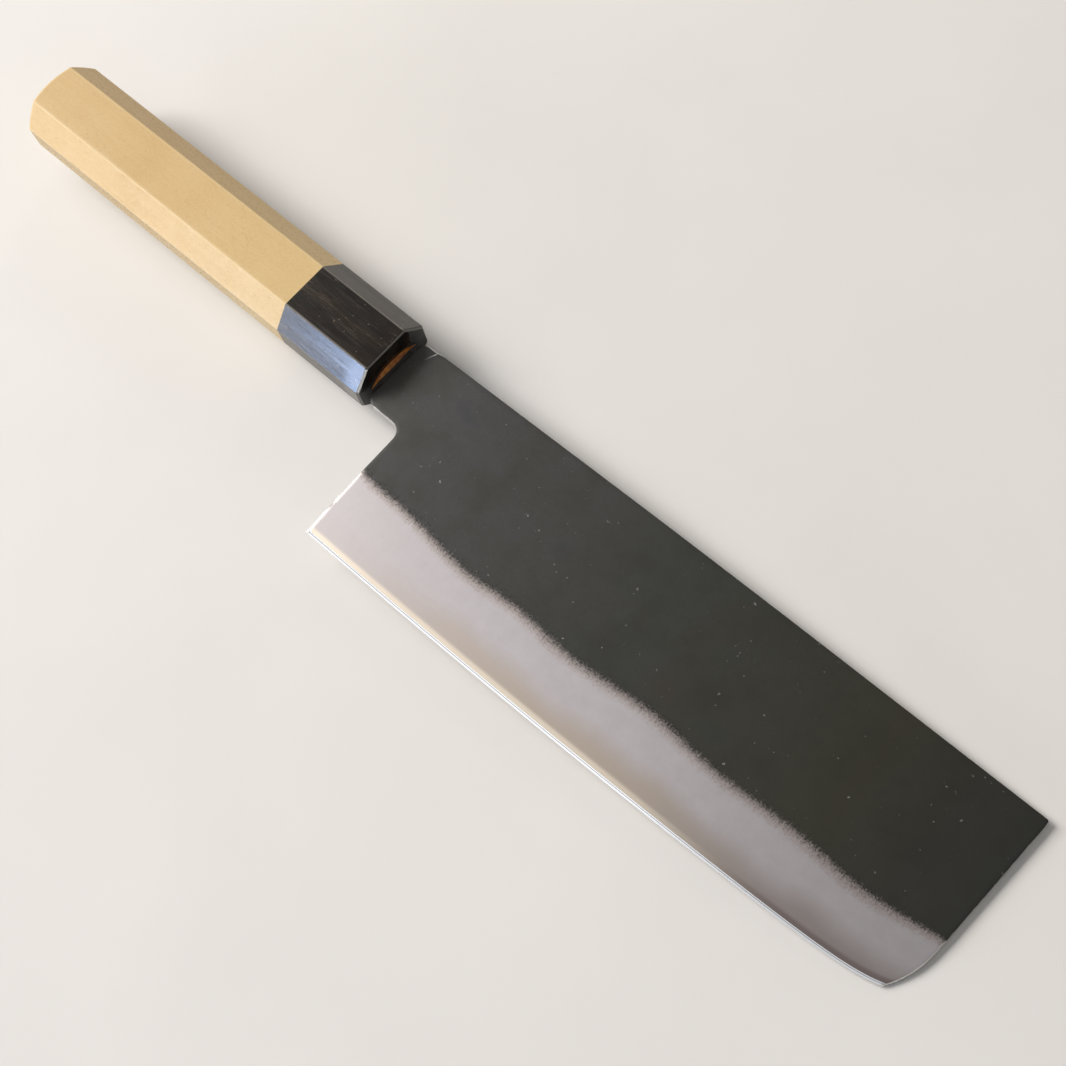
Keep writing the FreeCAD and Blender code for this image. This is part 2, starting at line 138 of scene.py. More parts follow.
def spine_line(x):
    """Two straight lines with a very long arc between them, drawn as a parabola."""
    rise = (SPINE_BEND_Y - NECK_RISE) / (SPINE_BEND_X - NECK_BACK)
    turn = rise - (FRONT_Y - SPINE_BEND_Y) / (FRONT_X - SPINE_BEND_X)
    run = SPINE_RADIUS * turn
    into_arc = np.clip(x - (SPINE_BEND_X - run / 2), 0, run)
    past_arc = np.maximum(x - (SPINE_BEND_X + run / 2), 0)
    return (NECK_RISE + rise * (x - NECK_BACK)
            - into_arc ** 2 / (2 * SPINE_RADIUS) - turn * past_arc)


def edge_line(x):
    """The cutting edge: nearly flat, with a late belly and a quick lift at the toe."""
    share = along_bar(x)
    return (-HEEL_DEPTH + BELLY_RISE * share ** BELLY_POWER
            + TOE_RISE * share ** TOE_POWER)


def waist_line(x):
    """The neck's underside, then the choil's quarter circle, then level along the blade."""
    into_choil = np.clip(x - (HEEL_X - CHOIL_RADIUS), 0, CHOIL_RADIUS)
    return -NECK_DROP - CHOIL_RADIUS + np.sqrt(CHOIL_RADIUS ** 2 - into_choil ** 2)


def front_line(y):
    """The leaning front of the blade, with its small top round and the arc of the nose."""
    lean = (FRONT_X - NOSE_X) / (FRONT_Y + NOSE_DEPTH)
    lean_angle = math.atan(lean)
    tangent = NOSE_RADIUS * math.tan((math.pi / 4 - lean_angle) / 2)
    arc_top = -NOSE_DEPTH + tangent * math.cos(lean_angle)
    centre_x = NOSE_X + lean * (arc_top + NOSE_DEPTH) - NOSE_RADIUS * math.cos(lean_angle)
    centre_y = arc_top + NOSE_RADIUS * math.sin(lean_angle)
    drop = np.clip(centre_y - y, 0, NOSE_RADIUS)
    arc = centre_x + np.sqrt(NOSE_RADIUS ** 2 - drop ** 2)
    line = NOSE_X + lean * (y + NOSE_DEPTH)
    below_top = np.clip(FRONT_Y - y, 0, TIP_ROUND)
    top_round = TIP_ROUND - np.sqrt(TIP_ROUND ** 2 - (TIP_ROUND - below_top) ** 2)
    return np.where(y > arc_top, line, arc) - top_round


def bevel_line(x):
    """Where the forged flat meets the ground bevel: a straight line, climbing a little."""
    return BEVEL_LINE_Y + BEVEL_LINE_CLIMB * along_bar(x)


def bevel_half(x, y):
    """Half thickness on the ground bevel: a plane from the bevel line to the fine edge."""
    share = along_bar(x)
    foot = edge_line(x) + MICRO_HEIGHT
    climb = (y - foot) / (bevel_line(x) - foot)
    return MICRO_HALF + (spread(BEVEL_HALF, share) - MICRO_HALF) * climb


def weld_half(x):
    """Half thickness of the steel layer, which wanders a little where it was welded."""
    wander = sum(high * np.sin(x / length + start) for length, high, start in WELD_WAVES)
    return spread(CORE_HALF, along_bar(x)) + wander * np.clip((x - HEEL_X) / 10, 0, 1)


def weld_line(x):
    """Where the bevel cuts through the iron and lays the steel bare."""
    foot = edge_line(x) + MICRO_HEIGHT
    slope = (spread(BEVEL_HALF, along_bar(x)) - MICRO_HALF) / (bevel_line(x) - foot)
    return foot + (weld_half(x) - MICRO_HALF) / slope


def forged_half(x, y, seed):
    """Half thickness of the forged flat: a plane, sunk where the line dips, with waves.

    The hammer's waves are a sum of sines in random directions, the longer ones deeper. They
    fade out along the spine and the neck, which are dressed straight.
    """
    share = along_bar(x)
    down = (BAR_TOP - y) / (BAR_TOP - bevel_line(x))
    plane = spread(SPINE_HALF, share) * (1 - down) + spread(BEVEL_HALF, share) * down
    line = (LINE_DROP + HEEL_CLIMB * np.exp((HEEL_X - x) / HEEL_FADE)
            + FRONT_CLIMB * np.exp((x - FRONT_X) / FRONT_FADE))
    for length, height, start in LINE_WAVES:
        line = line + height * np.cos(2 * math.pi * x / length - start)
    plane = plane + SINK_SHARE * line * np.clip(down, 0, 1.1)
    random = np.random.default_rng(seed)
    waves = np.zeros_like(plane)
    for _ in range(HAMMER_WAVES):
        length = random.uniform(*HAMMER_LENGTHS)
        heading = random.uniform(0, math.pi)
        start = random.uniform(0, 2 * math.pi)
        distance = x * math.cos(heading) + y * math.sin(heading)
        waves += HAMMER_SHARE * length * np.sin(2 * math.pi * distance / length + start)
    fade = np.clip(down * 3, 0, 1) * np.clip((x - BAR_START) / 12, 0, 1)
    return plane + waves * fade


def neck_share(x, y):
    """How much the neck thins from the blade's full thickness to its shoulders.

    It thins evenly back from a ridge, which leans forward near the spine.
    """
    ridge_x = BAR_START + RIDGE_LEAN * np.maximum(y - RIDGE_LOW_Y, 0)
    from_back = np.clip((x - NECK_BACK) / (ridge_x - NECK_BACK), 0, 1)
    return spread((SHOULDER_SHARE, 1), from_back)


def outline_distance(x, y):
    """Distance in from the spine, the front, the heel, the choil and the neck's outline."""
    to_spine = spine_line(x) - y
    to_front = front_line(y) - x
    choil_x = HEEL_X - CHOIL_RADIUS
    choil_y = -NECK_DROP - CHOIL_RADIUS
    to_choil = np.hypot(x - choil_x, y - choil_y) - CHOIL_RADIUS
    to_heel = x - HEEL_X
    to_underside = y + NECK_DROP
    below = np.where(y < choil_y, to_heel, np.where(x > choil_x, to_choil, to_underside))
    # The neck's two rear corners are rounded.
    corner_x = NECK_BACK + NECK_ROUND - x
    corner_y = np.maximum(y - (NECK_RISE - NECK_ROUND), -NECK_DROP + NECK_ROUND - y)
    to_corner = NECK_ROUND - np.hypot(corner_x, corner_y)
    in_corner = (corner_x > 0) & (corner_y > 0)
    to_back = np.where(in_corner, to_corner, x - NECK_BACK)
    return np.maximum(np.minimum.reduce([to_spine, to_front, below, to_back]), 0)


def fine_ends(length, cell):
    """Shares of a length: close over the eased edge at both ends, and even between."""
    near = EASED * np.array([0, 0.2, 0.5]) / length
    even = np.linspace(EASED / length, 1 - EASED / length, max(int(length / cell), 2))
    return np.concatenate([near, even, 1 - near[::-1]])


# Rows run the length of the blade on these guides: 0 spine, 1 and 2 the tang's top and
# bottom, 3 waist, 4 weld, 5 top of the fine edge, 6 cutting edge.
GUIDES = 7
WAIST_ROW = 3
WELD_ROW = 4
FINE_ROW = 5
rows = np.concatenate([
    fine_ends(NECK_RISE - TANG_HALF_HEIGHT[1], CELL)[:-3],
    1 + np.arange(14) / 14,
    2 + fine_ends(NECK_DROP - TANG_HALF_HEIGHT[1], CELL),
    3 + np.arange(1, 32) / 31,
    4 + np.arange(1, 12) / 11,
    5 + np.arange(1, 5) / 4,
])
rows = np.unique(np.round(rows, 6))


def height_of_row(x, row):
    """Height at x of a row: on the guides for whole numbers, evenly between for others."""
    x, row = np.broadcast_arrays(x, row)
    level = np.zeros_like(x)
    guides = np.stack([
        spine_line(x), level + TANG_HALF_HEIGHT[1], level - TANG_HALF_HEIGHT[1],
        waist_line(x), weld_line(x), edge_line(x) + MICRO_HEIGHT, edge_line(x),
    ])
    upper = np.minimum(row.astype(int), GUIDES - 2)
    above = np.take_along_axis(guides, upper[None], 0)[0]
    below = np.take_along_axis(guides, upper[None] + 1, 0)[0]
    return above + (below - above) * (row - upper)


# The grid has three stretches of columns: the tang, the neck and the blade itself.
row_line = rows[None, :]
tang_x = np.append(np.linspace(TANG_END, -1, 12), NECK_BACK - 0.1)[:, None] + 0 * row_line
tang_share = (tang_x - TANG_END) / (NECK_BACK - TANG_END)
tang_y = spread(TANG_HALF_HEIGHT, tang_share) * (1 - 2 * (row_line - 1))

back_x = np.full((1, len(rows)), NECK_BACK)
back_y = height_of_row(back_x, row_line)
past_end = np.clip(np.minimum(NECK_RISE - back_y, back_y + NECK_DROP), 0, NECK_ROUND)
back_x = back_x + NECK_ROUND - np.sqrt(NECK_ROUND ** 2 - (NECK_ROUND - past_end) ** 2)
neck_columns = fine_ends(HEEL_X - NECK_BACK, NECK_CELL)[:, None]
neck_x = back_x + (HEEL_X - back_x) * neck_columns
neck_y = height_of_row(neck_x, row_line)

# The front's place depends on a row's height there, and that on the place, so it is tried
# again until both agree.
front_x = np.full((1, len(rows)), FRONT_X)
for _ in range(40):
    front_x = front_line(height_of_row(front_x, row_line))
blade_columns = fine_ends(FRONT_X - HEEL_X, CELL)[1:, None]
blade_x = HEEL_X + (front_x - HEEL_X) * blade_columns
blade_y = height_of_row(blade_x, row_line)

plan_x = np.concatenate([tang_x, neck_x, blade_x])
plan_y = np.concatenate([tang_y, neck_y, blade_y])

# Which cells of the grid are metal: the tang's rows, the neck above its underside, and all
# of the blade.
column = np.arange(len(plan_x) - 1)[:, None]
row_above, row_below = rows[None, :-1], rows[None, 1:]
in_tang = (row_above >= 1) & (row_below <= 2)
in_neck = row_below <= WAIST_ROW
metal = np.where(column < len(tang_x), in_tang,
                 np.where(column < len(tang_x) + len(neck_x) - 1, in_neck, True))

# 1 at the top of the neck's ridge, which the thumb rubs round and where a highlight is
# painted, and 0 away from it.
to_spot = np.hypot(plan_x - RUBBED_GLINT_SPOT[0], plan_y - RUBBED_GLINT_SPOT[1])
spot = np.exp(-(to_spot / RUBBED_GLINT_RADIUS) ** 2)
from_outline = outline_distance(plan_x, plan_y)
core = weld_half(plan_x)


def outer_half(seed):
    """Half thickness of the whole blade on the grid, and how far the bevel cuts into it.

    The iron's outer edge is eased by an arc, three times as large at the rubbed spot.
    """
    forged = forged_half(plan_x, plan_y, seed)
    bevel = bevel_half(plan_x, plan_y)
    foot = edge_line(plan_x) + MICRO_HEIGHT
    fine = MICRO_HALF * (plan_y - edge_line(plan_x)) / MICRO_HEIGHT
    half = np.where(plan_y < foot, fine, np.minimum(forged, bevel))
    half = half * neck_share(plan_x, plan_y)
    ease = EASED * (1 + 2 * spot)
    eased = ease - np.sqrt(ease ** 2 - (ease - np.minimum(from_outline, ease)) ** 2)
    limit = np.minimum(0.5 * np.abs(half - core), 0.6 * half)
    half = half - np.minimum(eased, limit)
    tang = spread(TANG_HALF_WIDTH, (plan_x - TANG_END) / (NECK_BACK - TANG_END))
    return np.where(plan_x < NECK_BACK, tang, half), forged - bevel


def solid_piece(name, points, faces, marks, crease):
    """A piece from points on the knife's axes, four-sided faces and a crease in degrees.

    Points that no face uses are left out and doubles merged. A mark is one value for each
    point, and the mesh keeps it under its name.
    """
    used, faces = np.unique(faces, return_inverse=True)
    mesh = bpy.data.meshes.new(name)
    mesh.from_pydata((KNIFE_ORIGIN + points[used] * MM).tolist(), [],
                     faces.reshape(-1, 4).tolist())
    for mark, values in marks.items():
        attribute = mesh.attributes.new(mark, "FLOAT", "POINT")
        attribute.data.foreach_set("value", values[used].astype(np.float32))
    shape = bmesh.new()
    shape.from_mesh(mesh)
    bmesh.ops.remove_doubles(shape, verts=shape.verts, dist=MERGED * MM)
    bmesh.ops.recalc_face_normals(shape, faces=shape.faces)
    shape.to_mesh(mesh)
    shape.free()
    mesh.shade_smooth()
    mesh.set_sharp_from_angle(angle=math.radians(crease))
    piece = bpy.data.objects.new(name, mesh)
    bpy.context.scene.collection.objects.link(piece)
    return piece


def layer_piece(name, cells, upper, lower, marks):
    """A closed layer between two height fields over the chosen cells of the plan grid.

    The top takes the upper heights, the underside the lower ones, and a wall joins them
    along every side of a chosen cell that has no chosen neighbour. The weld and the top of
    the fine edge stay crisp lines.
    """
    count_x, count_y = plan_x.shape
    count = count_x * count_y
    index = np.arange(count).reshape(count_x, count_y)
    corner = [index[:-1, :-1], index[1:, :-1], index[1:, 1:], index[:-1, 1:]]
    top = np.stack([c[cells] for c in corner], 1)[:, ::-1]
    bottom = np.stack([c[cells] + count for c in corner], 1)
    # With a rim of empty cells round it, the grid shifted by one gives each neighbour.
    bordered = np.pad(cells, 1)
    middle, back, ahead = slice(1, -1), slice(0, -2), slice(2, None)
    sides = [(middle, back), (ahead, middle), (middle, ahead), (back, middle)]
    walls = []
    for first, beside in enumerate(sides):
        open_side = cells & ~bordered[beside]
        a, b = corner[first][open_side], corner[(first + 1) % 4][open_side]
        walls.append(np.stack([a, b, b + count, a + count], 1))
    plan = np.stack([plan_x, plan_y], -1).reshape(-1, 2)
    points = np.concatenate([
        np.column_stack([plan, upper.ravel()]), np.column_stack([plan, lower.ravel()])])
    marks = {mark: np.tile(values.ravel(), 2) for mark, values in marks.items()}
    piece = solid_piece(name, points, np.concatenate([top, bottom] + walls), marks, 32)

    mesh = piece.data
    ends = np.empty(2 * len(mesh.edges), np.int32)
    mesh.edges.foreach_get("vertices", ends)
    crisp = np.empty(len(mesh.vertices), np.float32)
    mesh.attributes["crisp"].data.foreach_get("value", crisp)
    sharp = np.empty(len(mesh.edges), bool)
    mesh.attributes["sharp_edge"].data.foreach_get("value", sharp)
    one_end, other_end = crisp[ends.reshape(-1, 2)].T
    on_line = (one_end == other_end) & (one_end > 0)
    mesh.attributes["sharp_edge"].data.foreach_set("value", sharp | on_line)
    return piece


def srgb(code):
    """A colour written as sRGB hex, turned to linear RGBA."""
    parts = [int(code[i:i + 2], 16) / 255 for i in (1, 3, 5)]
    linear = [p / 12.92 if p <= 0.04045 else ((p + 0.055) / 1.055) ** 2.4 for p in parts]
    return linear + [1]


def add(tree, kind, settings, inputs, output=0):
    """Add a node with its settings, its values and its links, and give back one output.

    A link is written as the output it comes from. A ramp's stops are (position, colour).
    Inputs go by name or number, or as a list in the node's own order: a range's value, the
    two ends it comes from, and the two it goes to if they aren't 0 and 1. A Mix node's are
    0 for the share, then 2 and 3 for values, or 6 and 7 for colours, which leave by 2.
    """
    node = tree.nodes.new("ShaderNode" + kind)
    for name, value in settings.items():
        if name == "stops":
            for position, _ in value[1:-1]:
                node.color_ramp.elements.new(position)
            for element, (position, colour) in zip(node.color_ramp.elements, value):
                element.position = position
                element.color = srgb(colour)
        else:
            setattr(node, name, value)
    named = enumerate(inputs) if isinstance(inputs, list) else inputs.items()
    for name, value in named:
        if isinstance(value, bpy.types.NodeSocket):
            tree.links.new(value, node.inputs[name])
        else:
            node.inputs[name].default_value = value
    return node.outputs[output]


# Settings that many nodes share.
SMOOTH = {"interpolation_type": "SMOOTHSTEP"}
COLOURS = {"data_type": "RGBA"}
TINT = {"data_type": "RGBA", "blend_type": "MULTIPLY"}
ADD, SUBTRACT, MULTIPLY, MULTIPLY_ADD, MAXIMUM, ABSOLUTE = (
    {"operation": name} for name in (
        "ADD", "SUBTRACT", "MULTIPLY", "MULTIPLY_ADD", "MAXIMUM", "ABSOLUTE"))


def new_material(name):
    """A material with only a surface shader, and the object's places in millimetres."""
    material = bpy.data.materials.new(name)
    material.use_nodes = True
    tree = material.node_tree
    metres = add(tree, "TexCoord", {}, {}, "Object")
    place = add(tree, "Mapping", {}, {"Vector": metres, "Scale": (1000, 1000, 1000)})
    return material, tree, tree.nodes["Principled BSDF"], place


def own_axis(tree, place, axis):
    """A place along the knife's own x (0), y (1) or z (2)."""
    along = add(tree, "SeparateXYZ", {}, [place], axis)
    return add(tree, "Math", SUBTRACT, [along, float(KNIFE_ORIGIN[axis] / MM)])


def link_surface(tree, shader, colour, rough, relief, depth):
    """Link a colour, a roughness and a relief, whose depth is in millimetres."""
    bump = add(tree, "Bump", {}, {
        "Strength": 0.5, "Distance": depth * MM, "Height": relief})
    for name, value in (("Base Color", colour), ("Roughness", rough), ("Normal", bump)):
        tree.links.new(value, shader.inputs[name])


STONE_PALE = "#cac4c6"
STONE_GREY = "#c2bcbe"


def stone_finish(tree, place):
    """The colour, roughness and relief that whetstones give to bare iron and steel.

    They leave a hazy lilac grey in soft clouds of about 5 mm, with fine lines 0.2 mm apart
    that run across the bevel.
    """
    haze = add(tree, "TexNoise", {}, {
        "Vector": place, "Scale": 1 / 5, "Detail": 5, "Roughness": 0.6})
    colour = add(tree, "ValToRGB", {"stops": [(0.3, STONE_GREY), (0.65, STONE_PALE)]},
                 {"Fac": haze})
    rough = add(tree, "MapRange", {}, [haze, 0.3, 0.7, 0.385, 0.355])
    line_place = add(tree, "Mapping", {}, {
        "Vector": place, "Scale": (1 / 0.2, 1 / 6, 1), "Rotation": (0, 0, 0.3)})
    relief = add(tree, "TexNoise", {}, {
        "Vector": line_place, "Scale": 1, "Detail": 3, "Roughness": 0.6})
    return colour, rough, relief


# Soft iron under black forge scale. The scale is a thin hard skin of oxide, blackened with
# clay, so it is dark and matt with soft olive and blue-grey patches and a few bright
# specks. Its tone is painted lighter grey at the neck and heel and near-black at the front:
# painted light, standing in for the window's light falling off along the blade. Where the
# wheel has cut through it the iron is pale lilac grey with a stone haze.
# The scale's tone at five places along the blade; the lighter neck and heel are painted
# light.
SCALE_NECK = "#484744"
SCALE_HEEL = "#3e3d3e"
SCALE_MIDDLE = "#2a2c26"
SCALE_FRONT = "#262416"
SCALE_TIP = "#1b1c19"
SCALE_RUST = "#33261a"
SCALE_SOOT = "#0e0b09"
SCALE_WORN = "#b5b0ae"
IRON_FRINGE = "#8d7a6b"
# A pale tone painted on rubbed edges as a highlight.
RIM_RUBBED_HIGHLIGHT = "#d6d3ce"
RIM_METALLIC = 0.5
RIM_ROUGH = 0.25
# The painted highlight along the neck's ridge: its length, and half its width at the top.
RIDGE_LENGTH = 4.3
RIDGE_HALF = 0.2

# Patterns by size in millimetres: crumbs of scale 0.5, nicks in the painted highlight of
# the rubbed outline 2.2, broad patches 11, clouds of heat bloom 24, bright specks 1.3 and
# pits 0.7.
forge_scale_iron, tree, shader, place = new_material("forge_scale_iron")
ground, rim = (add(tree, "Attribute", {"attribute_name": mark}, {}, "Fac")
               for mark in ("ground", "rim"))
crumbs, wear_highlight_noise, patches, bloom_noise, speck_noise, pits = (
    add(tree, "TexNoise", {}, {
        "Vector": place, "Scale": 1 / size, "Detail": detail, "Roughness": roughness})
    for size, detail, roughness in (
        (0.5, 5, 0.75), (2.2, 5, 0.7), (11, 3, 0.55), (24, 4, 0.65), (1.3, 2, 0.5),
        (0.7, 6, 0.7)))

# The wheel leaves the bevel line crumbly, with feathered streaks of about 0.4 by 2 mm.
streak_place = add(tree, "Mapping", {}, {
    "Vector": place, "Scale": (1 / 0.4, 1 / 2, 1), "Rotation": (0, 0, 0.12)})
streaks = add(tree, "TexNoise", {}, {
    "Vector": streak_place, "Scale": 1, "Detail": 4, "Roughness": 0.6})
feather = add(tree, "Math", MULTIPLY_ADD, [streaks, 0.07, -0.035])
feather = add(tree, "Math", ADD, [ground, feather])
feather = add(tree, "Math", MULTIPLY_ADD, [crumbs, 0.14, feather])
bright = add(tree, "MapRange", SMOOTH, [feather, 0.03, 0.115])

# Handling rubs the outline, and it is drawn as a thin pale line, a painted highlight for
# the light its eased edge catches, wider at a few nicks and on the bevel. The ridge where
# the neck starts to thin gets the same painted highlight, in a line that tapers away.
wear_highlight_width = add(tree, "MapRange", {}, [wear_highlight_noise, 0.45, 0.75, 0.03, 0.2])
wear_highlight_width = add(tree, "Math", MULTIPLY_ADD, [bright, 0.26, wear_highlight_width])
ridge_place = add(tree, "Mapping", {"vector_type": "TEXTURE"}, {
    "Vector": place, "Rotation": (0, 0, math.atan2(-1, -RIDGE_LEAN)),
    "Location": KNIFE_ORIGIN / MM + np.array([*RIDGE_TOP, 0])})
ridge_run, ridge_off = (
    add(tree, "SeparateXYZ", {}, [ridge_place], axis) for axis in (0, 1))
ridge_off = add(tree, "Math", ABSOLUTE, [ridge_off])
ridge_width = add(tree, "MapRange", {}, [ridge_run, 0, RIDGE_LENGTH, RIDGE_HALF, 0])
rubbed_highlight_lines = []
for width, distance in ((wear_highlight_width, rim), (ridge_width, ridge_off)):
    inside = add(tree, "Math", SUBTRACT, [width, distance])
    rubbed_highlight_lines.append(add(tree, "MapRange", SMOOTH, [inside, 0, 0.08]))
worn_highlight = add(tree, "Math", MAXIMUM, rubbed_highlight_lines)

# Scale: its tone along the blade, painted lighter at the neck and heel as painted light,
# with broad soft patches, then crumbly grain.
forward = add(tree, "MapRange", {}, [
    own_axis(tree, place, 0), NECK_BACK, NECK_BACK + FRONT_X])
painted_light_tone = add(tree, "ValToRGB", {"stops": [
    (0.0, SCALE_NECK), (0.12, SCALE_HEEL), (0.5, SCALE_MIDDLE), (0.8, SCALE_FRONT),
    (1.0, SCALE_TIP)]}, {"Fac": forward})
patch_tint = add(tree, "ValToRGB", {"stops": [
    (0.3, "#dcd9c6"), (0.45, "#efeee4"), (0.6, "#ffffff"), (0.75, "#e0e8f4")]},
    {"Fac": patches})
crumb_shade = add(tree, "MapRange", {}, [crumbs, 0.25, 0.75, 0.8, 1.2])
scale_colour = add(tree, "Mix", TINT, {0: 1, 6: painted_light_tone, 7: patch_tint}, 2)
scale_colour = add(tree, "Mix", TINT, {0: 1, 6: scale_colour, 7: crumb_shade}, 2)
# A brown bloom of the tempering heat lies in a few places towards the front, soot-brown
# crumbs are left along the scale's thinned edge, and a few bright specks all over.
bloom = add(tree, "MapRange", SMOOTH, [bloom_noise, 0.53, 0.72, 0, 0.6])
bloom = add(tree, "Math", MULTIPLY, [bloom, forward])
soot_band = add(tree, "MapRange", SMOOTH, [ground, -0.11, -0.03])
soot = add(tree, "MapRange", {}, [crumbs, 0.5, 0.36])
soot = add(tree, "Math", MULTIPLY, [soot, soot_band])
specks = add(tree, "MapRange", {}, [speck_noise, 0.72, 0.8, 0, 0.45])
for share, over in ((bloom, SCALE_RUST), (soot, SCALE_SOOT), (specks, SCALE_WORN)):
    scale_colour = add(tree, "Mix", COLOURS, {
        0: share, 6: scale_colour, 7: srgb(over)}, 2)

# A thin brown fringe of tempered oxide lies where the scale thins out over bare iron.
iron_colour, iron_rough, stone_lines = stone_finish(tree, place)
fringe = add(tree, "MapRange", SMOOTH, [feather, 0.16, 0.09, 0, 0.45])
iron_colour = add(tree, "Mix", COLOURS, {
    0: fringe, 6: iron_colour, 7: srgb(IRON_FRINGE)}, 2)

# The spine, the neck's edges and the choil are filed and rubbed bare, but stay dark.
facing = add(tree, "NewGeometry", {}, {}, "Normal")
upward = add(tree, "SeparateXYZ", {}, [facing], 2)
upward = add(tree, "Math", ABSOLUTE, [upward])
side = add(tree, "MapRange", {}, [upward, 0.5, 0.3, 0, 0.75])
bare = add(tree, "Math", MAXIMUM, [bright, side])
colour = add(tree, "Mix", COLOURS, {0: bare, 6: scale_colour, 7: iron_colour}, 2)
# A rubbed line is rounder than the mesh shows, so the light it would catch is painted in:
# a pale tone, a painted highlight, with only half of a metal's reflection.
colour = add(tree, "Mix", COLOURS, {0: worn_highlight, 6: colour, 7: srgb(RIM_RUBBED_HIGHLIGHT)}, 2)
metallic = add(tree, "Mix", {}, {0: worn_highlight, 2: bare, 3: RIM_METALLIC})
# Forge scale is finely pitted, and the worn outline is burnished by handling.
scale_rough = add(tree, "MapRange", {}, [crumbs, 0.3, 0.7, 0.42, 0.58])
rough = add(tree, "Mix", {}, {0: bare, 2: scale_rough, 3: iron_rough})
rough = add(tree, "Mix", {}, {0: worn_highlight, 2: rough, 3: RIM_ROUGH})
stone_lines = add(tree, "Math", MULTIPLY, [stone_lines, 0.1])
relief = add(tree, "Mix", {}, {0: bare, 2: pits, 3: stone_lines})
link_surface(tree, shader, colour, rough, relief, 0.06)
tree.links.new(metallic, shader.inputs["Metallic"])

outer, cut = outer_half(RIGHT_SEED)
crisp_row = np.where((row_line == WELD_ROW) | (row_line == FINE_ROW), row_line, 0)
marks = {
    "ground": cut,
    "rim": np.where(plan_x < NECK_BACK, 9.0, from_outline - 0.5 * spot),
    "weld": plan_y - weld_line(plan_x),
    "edge": plan_y - edge_line(plan_x),
    "crisp": np.broadcast_to(crisp_row, plan_x.shape),
}
iron_cells = metal & (row_below <= WELD_ROW)
right_iron = layer_piece("blade_iron_right", iron_cells, outer, core, marks)
right_iron.data.materials.append(forge_scale_iron)
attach(right_iron, "root")
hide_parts("cladding_right")

# The left iron is the same layer mirrored, with waves of its own from its own hammering.
left_outer, left_cut = outer_half(LEFT_SEED)
left_marks = {**marks, "ground": left_cut}
left_iron = layer_piece("blade_iron_left", iron_cells, -core, -left_outer, left_marks)
left_iron.data.materials.append(forge_scale_iron)
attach(left_iron, "root")
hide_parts("cladding_left")


# ------------------------------------------------------------------------------------------
# The edge steel: the hard middle layer, bare on both bevels below the iron. Whetstones
# leave it mirror-bright at the fine edge and warm grey with a soft haze above it.
# ------------------------------------------------------------------------------------------

STEEL_WARM = "#bdb0a5"
STEEL_STRAW = "#f0e3d1"
STEEL_TOE_WARM = "#a99f9c"
STEEL_TOE_BROWN = "#867a78"
STEEL_POLISHED = "#f0f1f4"
STEEL_BURR = "#8f939c"

# Plain carbon steel from the whetstones: hazy and faintly warm, then straw-pale, then
# bright, in bands that follow the edge.
hard_steel, tree, shader, place = new_material("hard_edge_steel")
weld, edge, rim = (add(tree, "Attribute", {"attribute_name": mark}, {}, "Fac")
                   for mark in ("weld", "edge", "rim"))
colour, hazy_rough, stone_lines = stone_finish(tree, place)
# The steel takes a slightly warmer tone than the iron, most of it beyond the heel.
drift_noise = add(tree, "TexNoise", {}, {
    "Vector": place, "Scale": 1 / 9, "Detail": 4, "Roughness": 0.6})
drift = add(tree, "Math", MULTIPLY_ADD, [drift_noise, 3, -1.5])
depth = add(tree, "Math", ADD, [weld, drift])
warmth = add(tree, "MapRange", SMOOTH, [depth, 1, -6])
along = own_axis(tree, place, 0)
past_heel = add(tree, "MapRange", SMOOTH, [along, HEEL_X, HEEL_X + 75, 0.15])
warmth = add(tree, "Math", MULTIPLY, [warmth, past_heel])
# The stones reach the curved toe less, so it stays browner there, and duller at the edge.
toe = add(tree, "MapRange", SMOOTH, [along, HEEL_X + 92, HEEL_X + 142])
warm_colour, straw_colour = (
    add(tree, "Mix", COLOURS, {0: toe, 6: srgb(heel_tone), 7: srgb(toe_tone)}, 2)
    for heel_tone, toe_tone in (
        (STEEL_WARM, STEEL_TOE_WARM), (STEEL_STRAW, STEEL_TOE_BROWN)))
# A pale straw line lies just above the fine edge, where the stones have begun to polish.
straw = add(tree, "MapRange", SMOOTH, [edge, 2.5, 1.4, 0, 0.85])
# The fine edge is polished on the last stone, 0.8 mm up from the cutting edge. A second
# pass at a steeper angle stops half-way and leaves a thin grey line there.
polished = add(tree, "MapRange", {}, [edge, MICRO_HEIGHT + 0.04, MICRO_HEIGHT - 0.04])
polished_colour = add(tree, "ValToRGB", {"stops": [
    (0.40, STEEL_POLISHED), (0.46, STEEL_BURR), (0.54, STEEL_BURR), (0.6, STEEL_POLISHED)]},
    {"Fac": edge})
for share, over in (
        (warmth, warm_colour), (straw, straw_colour), (polished, polished_colour)):
    colour = add(tree, "Mix", COLOURS, {0: share, 6: colour, 7: over}, 2)
polished_rough = add(tree, "MapRange", {}, [toe, 0, 1, 0.14, 0.28])
rough = add(tree, "Mix", {}, {0: polished, 2: hazy_rough, 3: polished_rough})
# The heel and the nose get the same pale line as the iron's outline, a painted highlight.
worn_highlight = add(tree, "MapRange", SMOOTH, [rim, 0.32, 0.24])
colour = add(tree, "Mix", COLOURS, {0: worn_highlight, 6: colour, 7: srgb(RIM_RUBBED_HIGHLIGHT)}, 2)
metallic = add(tree, "Mix", {}, {0: worn_highlight, 2: 1, 3: RIM_METALLIC})
rough = add(tree, "Mix", {}, {0: worn_highlight, 2: rough, 3: RIM_ROUGH})
stone_lines = add(tree, "Mix", {}, {0: polished, 2: stone_lines, 3: 0.5})
link_surface(tree, shader, colour, rough, stone_lines, 0.006)
tree.links.new(metallic, shader.inputs["Metallic"])

